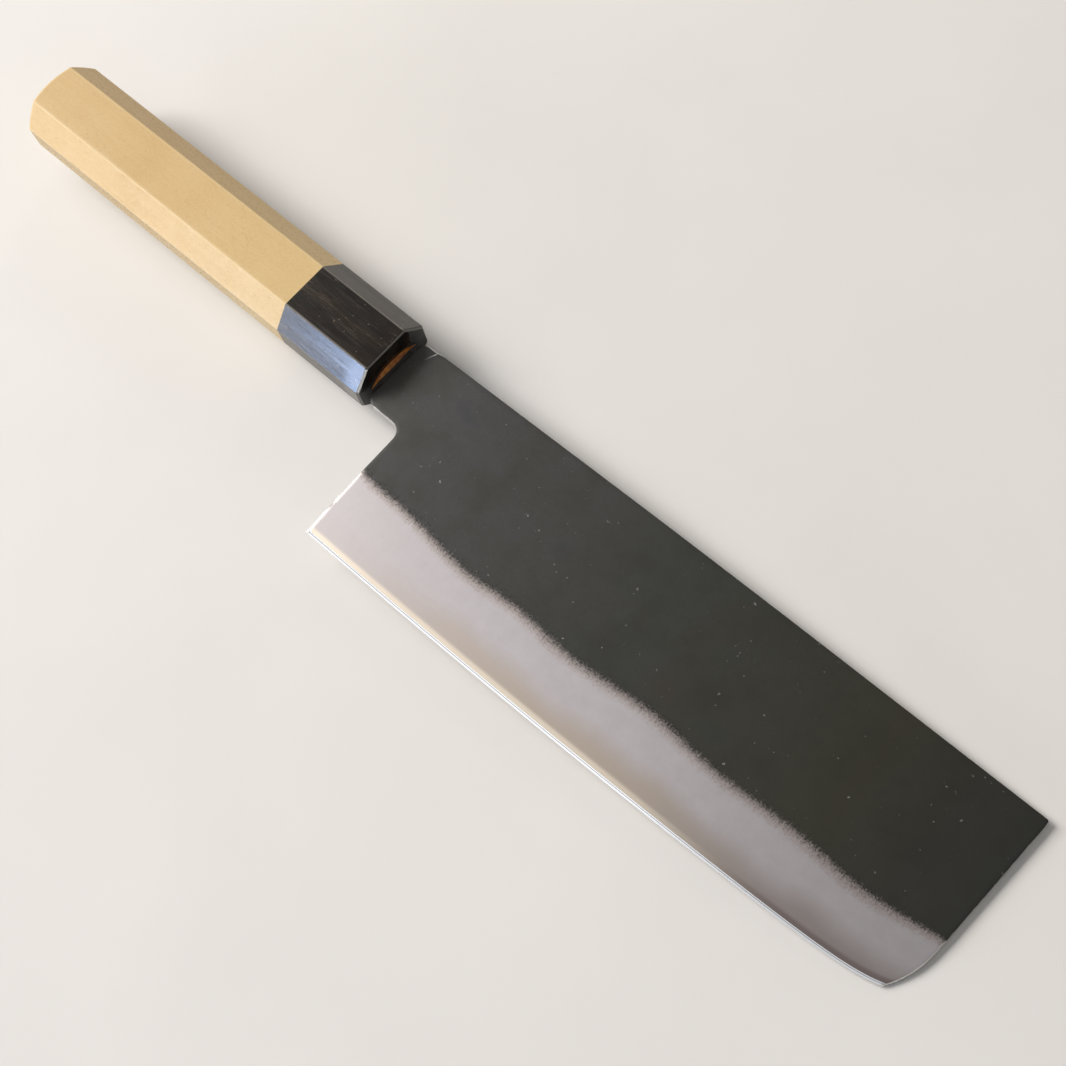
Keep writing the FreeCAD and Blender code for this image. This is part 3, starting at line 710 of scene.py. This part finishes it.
below_weld = plan_y < weld_line(plan_x) + 1e-6
steel_upper = np.where(below_weld, outer, core)
steel_lower = np.where(below_weld, -left_outer, -core)
steel = layer_piece("blade_edge_steel", metal, steel_upper, steel_lower, marks)
steel.data.materials.append(hard_steel)
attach(steel, "root")
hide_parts("edge_steel")


# ------------------------------------------------------------------------------------------
# The handle body: one stick of magnolia, planed to eight sides, with a butt domed by hand
# and an oval tenon that runs through the ferrule. The tang is burned into its front.
# ------------------------------------------------------------------------------------------

HANDLE_BACK = -128.9
JOINT_X = -28.4
# Distances from the middle line to the facets, at the butt and at the front.
SIDE_FACET = (9.6, 9.2)
END_FACET = (12.25, 11.85)
SLOPE_FACET = (11.5, 11.1)
SLOPE_ANGLE = math.radians(48)
FACET_ROUND = 0.35
DOME_RADIUS = 26.0
RIM_ROUND = 0.5
# Half heights and half widths of the tenon, its resin seal and the tang's socket.
TENON = (8.3, 3.3)
SEAL = (8.2, 3.05)
SEAL_HEIGHT = 1.65
SEAL_CLEAR = 0.45
GLUE_GAP = 0.05
SOCKET_FRONT = (5.28, 1.53)
SOCKET_END_X = -92.3
SOCKET_END = (2.68, 1.08)
# Points on each rounded corner of the octagon, and shares along each facet between them.
CORNER_POINTS = 5
FACET_POINTS = (0.04, 0.3, 0.5, 0.7, 0.96)


def facet_ring(share, grow=0.0):
    """One ring of the octagon as points (y, z): facets at set distances, corners rounded.

    Two facet lines meet at a corner that lies inside by the corner's radius, and an arc
    about it joins them. Each facet also gets points close to its ends, to keep it flat.
    """
    side, end, slope = (
        spread(s, share) + grow for s in (SIDE_FACET, END_FACET, SLOPE_FACET))
    angles = np.array([0, SLOPE_ANGLE, math.pi / 2, math.pi - SLOPE_ANGLE])
    angles = np.concatenate([angles, angles + math.pi])
    distances = np.array([side, slope, end, slope] * 2) - FACET_ROUND
    following = np.roll(angles, -1)
    turn = (following - angles) % (2 * math.pi)
    along = (np.roll(distances, -1) - distances * np.cos(turn)) / np.sin(turn)
    corner_y = distances * np.sin(angles) + along * np.cos(angles)
    corner_z = distances * np.cos(angles) - along * np.sin(angles)
    bend = angles[:, None] + turn[:, None] * np.linspace(0, 1, CORNER_POINTS)
    ring = []
    for corner, wave in ((corner_y, np.sin(bend)), (corner_z, np.cos(bend))):
        arc = corner[:, None] + FACET_ROUND * wave
        facet_run = np.roll(arc[:, 0], -1) - arc[:, -1]
        flat = arc[:, -1:] + facet_run[:, None] * np.array(FACET_POINTS)
        ring.append(np.concatenate([arc, flat], 1).ravel())
    return tuple(ring)


def oval_ring(ring, half_height, half_width):
    """Points of a flat-sided oval in the same directions as a ring's points.

    The oval is all points at one distance, half its width, from a short upright line.
    """
    angle = np.arctan2(ring[1], ring[0])
    straight = half_height - half_width
    y, z = np.cos(angle), np.sin(angle)
    to_flat = half_width / np.maximum(np.abs(z), 1e-9)
    on_end = np.abs(y) * to_flat > straight
    reach = straight * np.abs(y) + np.sqrt(
        np.maximum(half_width ** 2 - (straight * z) ** 2, 0))
    reach = np.where(on_end, reach, to_flat)
    return reach * y, reach * z


def slot_ring(ring, half_height, half_width):
    """Points of a rectangle in the same directions as a ring's points."""
    angle = np.arctan2(ring[1], ring[0])
    y, z = np.cos(angle), np.sin(angle)
    reach = np.minimum(half_height / np.maximum(np.abs(y), 1e-9),
                       half_width / np.maximum(np.abs(z), 1e-9))
    return reach * y, reach * z


def ring_piece(name, rings, closed, crease, marks):
    """A closed skin through a row of rings, each an (x, y, z) set of arrays.

    Neighbouring rings are joined by quads. The last ring joins the first one if closed,
    and otherwise the first and last rings shrink to a point. A ring's values after x, y
    and z are kept under the names of the marks.
    """
    grid = np.stack([np.stack(np.broadcast_arrays(*ring), -1) for ring in rings])
    count, points = grid.shape[:2]
    grid = grid.reshape(count * points, -1)
    index = np.arange(count * points).reshape(count, points)
    after = np.roll(index, -1, 0) if closed else index[1:]
    before = index if closed else index[:-1]
    faces = np.stack([before, np.roll(before, -1, 1), np.roll(after, -1, 1), after], -1)
    return solid_piece(name, grid[:, :3], faces, dict(zip(marks, grid[:, 3:].T)), crease)


def handle_share(x):
    """Share of the handle's length, from 0 at the butt to 1 at the front."""
    return (x - HANDLE_BACK) / -HANDLE_BACK


# The butt: rings of the dome from its middle outwards, then the small round of its rim.
# After x, y and z, a ring has 1 where an edge gets a painted highlight and over 0 where
# resin is clear.
full_y, full_z = facet_ring(0.0)
full = np.hypot(full_y, full_z)
inner = full - RIM_ROUND
rim_x = HANDLE_BACK + DOME_RADIUS - np.sqrt((DOME_RADIUS - RIM_ROUND) ** 2 - inner ** 2)
start_angle = np.arcsin(inner / (DOME_RADIUS - RIM_ROUND))
body_rings = []
for share in np.linspace(0, 1, 15):
    reach = DOME_RADIUS * np.sin(start_angle) * share
    dome_x = HANDLE_BACK + DOME_RADIUS - np.sqrt(DOME_RADIUS ** 2 - reach ** 2)
    body_rings.append((dome_x, full_y / full * reach, full_z / full * reach, 0, -1))
for share in (0.25, 0.5, 0.75, 1.0):
    angle = start_angle + (math.pi / 2 - start_angle) * share
    reach = inner + RIM_ROUND * np.sin(angle)
    rim_ring_x = rim_x - RIM_ROUND * np.cos(angle)
    body_rings.append((rim_ring_x, full_y / full * reach, full_z / full * reach, 1, -1))
# The planed sides, straight from the rim to the joint, with their rounded corners marked.
corners = np.tile([1] * CORNER_POINTS + [0] * len(FACET_POINTS), 8)
for share in np.linspace(0.004, 1, 26):
    x = rim_x + (JOINT_X - rim_x) * share
    middle_x = spread((rim_x.mean(), JOINT_X), share)
    body_rings.append((x, *facet_ring(handle_share(middle_x)), corners, -1))
# The tenon, which has the ferrule round it.
joint_ring = facet_ring(handle_share(JOINT_X))
for x in np.linspace(JOINT_X, 0, 9):
    body_rings.append((x, *oval_ring(joint_ring, *TENON), 0, -1))
# Brown resin seals the socket in a low mound that rises to the neck. Its outline is a lens
# between two parabolas, and its height follows a quarter of a sine. It is clear in a sliver
# along that outline and charred black from there to the tang, a black that also stands in
# as painted shade for the recess between the ferrule and the neck.
joint_angle = np.arctan2(joint_ring[1], joint_ring[0])
steep = np.abs(np.sin(joint_angle))
bend = 2 * SEAL[1] * np.cos(joint_angle) / SEAL[0]
seal_reach = 2 * SEAL[1] / (steep + np.hypot(steep, bend))
outer_y, outer_z = seal_reach * np.cos(joint_angle), seal_reach * np.sin(joint_angle)
inner_y, inner_z = slot_ring(joint_ring, *SOCKET_FRONT)
for share in np.linspace(0, 1, 13):
    mound = SEAL_HEIGHT * math.sin(math.pi / 2 * share)
    clear = SEAL_CLEAR * (1 - (outer_y / SEAL[0]) ** 2) - share
    body_rings.append((mound, spread((outer_y, inner_y), share),
                       spread((outer_z, inner_z), share), 0, clear))
# The burned socket round the tang.
for share in np.linspace(0, 1, 9)[1:]:
    half_sizes = [spread(s, share) for s in zip(SOCKET_FRONT, SOCKET_END)]
    socket_x = spread((SEAL_HEIGHT, SOCKET_END_X), share)
    body_rings.append((socket_x, *slot_ring(joint_ring, *half_sizes), 0, -1))
body_rings.append((SOCKET_END_X, full_y * 0, full_z * 0, 0, -1))
handle_body = ring_piece("magnolia_handle", body_rings, False, 50, ("ridge", "seal"))

# Magnolia: a pale even wood, planed, sanded and left bare. It shows fine straight fibres,
# tiny pores, a sanded speckle that glints in the light, and browned end grain where the
# hot tang went in.
WOOD_PALE = "#e6c78e"
WOOD_MIDDLE = "#dcb97d"
WOOD_DARK = "#cfa868"
WOOD_PORE = "#a8814d"
# The painted highlight on the planed corners and the rim.
WOOD_RIDGE_HIGHLIGHT = "#f0d7a6"
GLUE = "#3a2a1c"
RESIN_BROWN = "#9a4d0a"
RESIN_AMBER = "#d98a26"
# Charred black that is also painted shade in the recess before the ferrule.
CHAR_AND_SHADE = "#1a120c"

# Sizes along and across the grain, with a turn: fibres, growth bands, mottle, the speckle
# that sanding across the grain leaves, about half a millimetre wide, and pores, which are
# short dark dashes about 1 mm long and 0.14 mm wide.
magnolia, tree, shader, place = new_material("sanded_magnolia")
fibres, bands, mottle, speckle, pore_noise = (
    add(tree, "TexNoise", {}, {
        "Vector": add(tree, "Mapping", {}, {
            "Vector": place, "Scale": [1 / s for s in size], "Rotation": turn}),
        "Scale": 1, "Detail": detail, "Roughness": roughness})
    for size, turn, detail, roughness in (
        ((14, 0.16, 0.16), (0, 0.004, -0.006), 4, 0.6),
        ((90, 2.4, 3.2), (0, 0.01, -0.012), 3, 0.5),
        ((18, 18, 18), (0, 0, 0), 2, 0.5),
        ((0.8, 0.4, 0.4), (0, 0, 0), 3, 0.6),
        ((1.1, 0.14, 0.14), (0, 0, 0), 2, 0.5)))
tone = -0.09
for pattern, weight in ((fibres, 0.3), (bands, 0.18), (mottle, 0.2), (speckle, 0.5)):
    tone = add(tree, "Math", MULTIPLY_ADD, [pattern, weight, tone])
# It is painted a little paler towards the ferrule, as painted light.
along = own_axis(tree, place, 0)
painted_light_paler = add(tree, "MapRange", {}, [along, JOINT_X - 60, JOINT_X, 0, 0.16])
tone = add(tree, "Math", ADD, [tone, painted_light_paler])
wood_colour = add(tree, "ValToRGB", {"stops": [
    (0.3, WOOD_DARK), (0.5, WOOD_MIDDLE), (0.7, WOOD_PALE)]}, {"Fac": tone})
pores = add(tree, "MapRange", {}, [pore_noise, 0.6, 0.7, 0, 0.5])
# The planed corners and the rim are painted paler, a painted highlight for the light their
# rounded edges catch.
ridge = add(tree, "Attribute", {"attribute_name": "ridge"}, {}, "Fac")
ridge_highlight = add(tree, "Math", MULTIPLY, [ridge, 0.45])
# End grain drinks in more, so the butt is a little darker.
facing = add(tree, "NewGeometry", {}, {}, "Normal")
along_grain = add(tree, "SeparateXYZ", {}, [facing], 0)
end_grain = add(tree, "MapRange", {}, [along_grain, -0.75, -0.95, 0, 0.35])
# A dark hairline of glue shows at the joint.
glue = add(tree, "MapRange", {}, [along, JOINT_X - 0.16, JOINT_X - 0.04, 0, 0.8])
for share, over in (
        (pores, WOOD_PORE), (ridge_highlight, WOOD_RIDGE_HIGHLIGHT), (end_grain, WOOD_DARK), (glue, GLUE)):
    wood_colour = add(tree, "Mix", COLOURS, {0: share, 6: wood_colour, 7: srgb(over)}, 2)
# The tenon's end is charred by the hot tang and painted near-black, which is also painted
# shade for the recess between the ferrule and the neck, and its resin seal is a clear
# streaky brown.
scorch = add(tree, "MapRange", {}, [along, -2.5, -0.5])
seal = add(tree, "Attribute", {"attribute_name": "seal"}, {}, "Fac")
seal = add(tree, "MapRange", {}, [seal, -0.03, 0.03])
seal_streaks = add(tree, "TexNoise", {}, {
    "Vector": place, "Scale": 1 / 1.5, "Detail": 4, "Roughness": 0.6})
seal_colour = add(tree, "ValToRGB", {"stops": [(0.35, RESIN_BROWN), (0.65, RESIN_AMBER)]},
                  {"Fac": seal_streaks})
char_and_shade_colour = add(tree, "Mix", COLOURS, {0: seal, 6: srgb(CHAR_AND_SHADE), 7: seal_colour}, 2)
wood_colour = add(tree, "Mix", COLOURS, {0: scorch, 6: wood_colour, 7: char_and_shade_colour}, 2)
wood_rough = add(tree, "MapRange", {}, [speckle, 0.35, 0.65, 0.42, 0.22])
seal_rough = add(tree, "Mix", {}, {0: seal, 2: 0.65, 3: 0.25})
wood_rough = add(tree, "Mix", {}, {0: scorch, 2: wood_rough, 3: seal_rough})
wood_relief = add(tree, "Math", SUBTRACT, [pore_noise, pores])
link_surface(tree, shader, wood_colour, wood_rough, wood_relief, 0.06)
shader.inputs["IOR"].default_value = 1.5

handle_body.data.materials.append(magnolia)
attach(handle_body, "root")
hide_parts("handle_body")


# ------------------------------------------------------------------------------------------
# The ferrule: a ring of water-buffalo horn with an oval bore, glued onto the tenon, planed
# to eight sides together with the wood and polished. Its front edges are bevelled.
# ------------------------------------------------------------------------------------------

BEVEL_RUN = 0.6
BEVEL_DROP = 0.42
# The painted highlight on the front edges fades out over this much of the front face.
FACE_FADE = 0.15

ferrule_rings = []
for x in np.linspace(JOINT_X, -BEVEL_RUN, 12):
    ferrule_rings.append((x, *facet_ring(handle_share(x)), corners))
for share in (0.5, 1.0):
    bevel_x, bevel_drop = BEVEL_RUN * (share - 1), BEVEL_DROP * share
    ferrule_rings.append((bevel_x, *facet_ring(1.0, -bevel_drop), 1))
ferrule_rings.append((0, *facet_ring(1.0, -BEVEL_DROP - FACE_FADE), 0))
bore = oval_ring(facet_ring(1.0), TENON[0] + GLUE_GAP, TENON[1] + GLUE_GAP)
for share in np.linspace(0, 1, 5):
    ferrule_rings.append((JOINT_X * share, *bore, 0))
ferrule = ring_piece("horn_ferrule", ferrule_rings, True, 30, ("ridge",))

# Buffalo horn: dense and nearly black, polished to a soft gloss. Against the light it shows
# brown, and fine paler fibres and specks run along it.
HORN_BLACK = "#18140f"
HORN_BROWN = "#32281e"
HORN_FIBRE = "#75695c"
# The painted highlight on the planed corners and the front edges.
HORN_RIDGE_HIGHLIGHT = "#9c978e"

# Sizes along and across the horn, with a turn: fibres, clouds, and the short pale streaks.
horn, tree, shader, place = new_material("polished_buffalo_horn")
fibres, clouds, streaks = (
    add(tree, "TexNoise", {}, {
        "Vector": add(tree, "Mapping", {}, {
            "Vector": place, "Scale": (1 / long, 1 / wide, 1 / wide), "Rotation": turn}),
        "Scale": 1, "Detail": detail, "Roughness": roughness})
    for long, wide, turn, detail, roughness in (
        (16, 0.3, (0, 0.02, 0.03), 5, 0.65),
        (22, 3.5, (0, 0, 0), 3, 0.6),
        (5, 0.24, (0, 0.02, 0.03), 3, 0.6)))
horn_colour = add(tree, "ValToRGB", {"stops": [(0.38, HORN_BLACK), (0.7, HORN_BROWN)]},
                  {"Fac": clouds})
# The pale streaks lie in clusters, with small flecks between them.
streaks = add(tree, "MapRange", {}, [streaks, 0.58, 0.72])
clusters = add(tree, "MapRange", SMOOTH, [clouds, 0.46, 0.62, 0.12, 0.9])
streaks = add(tree, "Math", MULTIPLY, [streaks, clusters])
fleck_noise = add(tree, "TexNoise", {}, {
    "Vector": place, "Scale": 1 / 1.2, "Detail": 2, "Roughness": 0.5})
flecks = add(tree, "MapRange", {}, [fleck_noise, 0.7, 0.76])
streaks = add(tree, "Math", MAXIMUM, [streaks, flecks])
# The planed corners and the front edges are painted as a thin paler line, a painted
# highlight.
ridge = add(tree, "Attribute", {"attribute_name": "ridge"}, {}, "Fac")
ridge_highlight = add(tree, "MapRange", {}, [ridge, 0.5, 1, 0, 0.5])
for share, over in ((streaks, HORN_FIBRE), (ridge_highlight, HORN_RIDGE_HIGHLIGHT)):
    horn_colour = add(tree, "Mix", COLOURS, {0: share, 6: horn_colour, 7: srgb(over)}, 2)
# The buffing wheel polishes along the fibres in streaks. It reaches the half of a sloping
# side that is nearer the knife's middle plane less, and leaves the front end the brightest.
horn_rough = add(tree, "MapRange", {}, [fibres, 0.38, 0.66, 0.08, 0.3])
height = add(tree, "Math", ABSOLUTE, [own_axis(tree, place, 2)])
less_reached = add(tree, "MapRange", SMOOTH, [height, 6.8, 5.4, 0, 0.6])
horn_rough = add(tree, "Mix", {}, {0: less_reached, 2: horn_rough, 3: 0.32})
buffed = add(tree, "MapRange", SMOOTH, [own_axis(tree, place, 0), -7, -2, 0, 0.95])
horn_rough = add(tree, "Mix", {}, {0: buffed, 2: horn_rough, 3: 0.06})
link_surface(tree, shader, horn_colour, horn_rough, fibres, 0.04)
shader.inputs["IOR"].default_value = 1.54

ferrule.data.materials.append(horn)
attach(ferrule, "root")
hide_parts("ferrule")


# ------------------------------------------------------------------------------------------
# The studio: a pale floor that touches the knife at its three lowest points, soft lamps and
# the camera at the photograph's angle.
# ------------------------------------------------------------------------------------------

FLOOR_SIZE = 3.0
FLOOR_PALE = "#f2f0ed"
FLOOR_SHADE = "#eeece9"
FLOOR_BOUNCE = "#7c7a78"
BACKDROP_COLOUR = "#f2f1f0"


def seen_rays(tree):
    """1 for rays from the eye or through clear glass, and 1 for rays that gloss sends."""
    eye, glossy, clear = (add(tree, "LightPath", {}, {}, f"Is {kind} Ray")
                          for kind in ("Camera", "Glossy", "Transmission"))
    return add(tree, "Math", MAXIMUM, [eye, clear]), glossy


# The knife rests on the ferrule's lower corner, the tip and the front of the bevel line.
resting = KNIFE_ORIGIN + MM * np.array([
    [-0.4, -6.5, -9.25], [183.0, 11.3, -1.0], [182.4, -24.4, -0.8]])
across = np.cross(resting[1] - resting[0], resting[2] - resting[0])
corner_xy = np.array([[-1, -1], [1, -1], [1, 1], [-1, 1]]) * FLOOR_SIZE / 2
corner_z = resting[0, 2] - ((corner_xy - resting[0, :2]) @ across[:2]) / across[2]
floor_mesh = bpy.data.meshes.new("floor")
floor_mesh.from_pydata(np.column_stack([corner_xy, corner_z]).tolist(), [], [[0, 1, 2, 3]])
floor = bpy.data.objects.new("floor", floor_mesh)
bpy.context.scene.collection.objects.link(floor)

# Matt paper: pale to the eye and to metal, with faint broad clouds. It throws less light
# back up at the knife than it shows.
floor_paint, tree, shader, place = new_material("matt_backdrop_paper")
paper = add(tree, "TexNoise", {}, {"Vector": place, "Scale": 1 / 60, "Detail": 3})
paper_colour = add(tree, "ValToRGB", {"stops": [(0.3, FLOOR_SHADE), (0.7, FLOOR_PALE)]},
                   {"Fac": paper})
eye_ray, glossy_ray = seen_rays(tree)
seen = add(tree, "Math", MAXIMUM, [eye_ray, glossy_ray])
paper_colour = add(tree, "Mix", COLOURS, {
    0: seen, 6: srgb(FLOOR_BOUNCE), 7: paper_colour}, 2)
tree.links.new(paper_colour, shader.inputs["Base Color"])
shader.inputs["Roughness"].default_value = 0.9
# Far from the knife it runs out into a pale backdrop, which lights nothing.
away = add(tree, "VectorMath", {"operation": "LENGTH"}, {0: place}, "Value")
far = add(tree, "MapRange", SMOOTH, [away, 350, 850])
far = add(tree, "Math", MULTIPLY, [far, seen])
backdrop = add(tree, "Emission", {}, {"Color": srgb(BACKDROP_COLOUR), "Strength": 1})
surface = add(tree, "MixShader", {}, {0: far, 1: shader.outputs["BSDF"], 2: backdrop})
tree.links.new(surface, tree.nodes["Material Output"].inputs["Surface"])
floor_mesh.materials.append(floor_paint)

# The eye and clear glass see a white room, metal and horn a much dimmer one, and the light
# that the room itself gives is dimmer still, so that the lamps shape the facets.
world = bpy.data.worlds.new("studio")
bpy.context.scene.world = world
world.use_nodes = True
tree = world.node_tree
background = tree.nodes["Background"]
background.inputs["Color"].default_value = srgb(BACKDROP_COLOUR)
eye_ray, glossy_ray = seen_rays(tree)
strength = add(tree, "Math", MULTIPLY_ADD, [glossy_ray, 0.18, 0.18])
strength = add(tree, "Mix", {}, {0: eye_ray, 2: strength, 3: 1})
tree.links.new(strength, background.inputs["Strength"])

# Each lamp: its watts, width and height, direction from the knife, distance and colour.
for name, power, size, direction, distance, colour in (
        ("window", 72.0, (1.4, 1.4), (-0.79, -0.25, 0.57), 2.6, "#fffaf4"),
        ("low_window", 1.7, (0.26, 0.22), (-0.67, -0.74, 0.12), 1.1, "#fffdfa"),
        ("low_sky", 2.7, (0.26, 0.22), (-0.42, -0.90, 0.12), 1.1, "#bfd5fc"),
        ("wood_sheen", 0.8, (0.24, 0.24), (-0.70, 0.17, 0.69), 1.2, "#ffffff"),
        ("ceiling", 0.4, (0.50, 0.30), (-0.20, -0.04, 0.98), 1.3, "#ffffff"),
        ("strip", 0.5, (1.3, 0.12), (0.0, -0.30, 0.95), 1.21, "#ffffff"),
        ("back_glint", 0.5, (0.15, 0.15), (-0.45, 0.78, 0.43), 1.0, "#fff2e0"),
        ("nose_glint", 0.4, (0.20, 0.20), (0.79, -0.31, 0.53), 1.2, "#ffffff"),
        ("end_glint", 0.55, (0.11, 0.10), (0.504, -0.860, 0.072), 1.08, "#ffffff")):
    lamp = bpy.data.lights.new(name, "AREA")
    lamp.shape = "RECTANGLE"
    lamp.energy = power
    lamp.size, lamp.size_y = size
    lamp.color = srgb(colour)[:3]
    holder = bpy.data.objects.new(name, lamp)
    outward = Vector(direction).normalized()
    holder.location = outward * distance
    holder.rotation_euler = outward.to_track_quat("Z", "Y").to_euler()
    bpy.context.scene.collection.objects.link(holder)

# The camera's place, turn in degrees and lens follow from the photograph's perspective.
CAMERA_PLACE = (143.105, -61.438, 345.461)
CAMERA_TURN = (20.5769, 6.7006, 42.2117)
CAMERA_LENS = 52.203

camera_data = bpy.data.cameras.new("camera")
camera_data.lens = CAMERA_LENS
camera_data.sensor_width = 36
camera = bpy.data.objects.new("camera", camera_data)
camera.location = Vector(CAMERA_PLACE) * MM
camera.rotation_euler = Euler([math.radians(a) for a in CAMERA_TURN])
bpy.context.scene.collection.objects.link(camera)
bpy.context.scene.camera = camera
bpy.context.scene.view_settings.view_transform = "Standard"
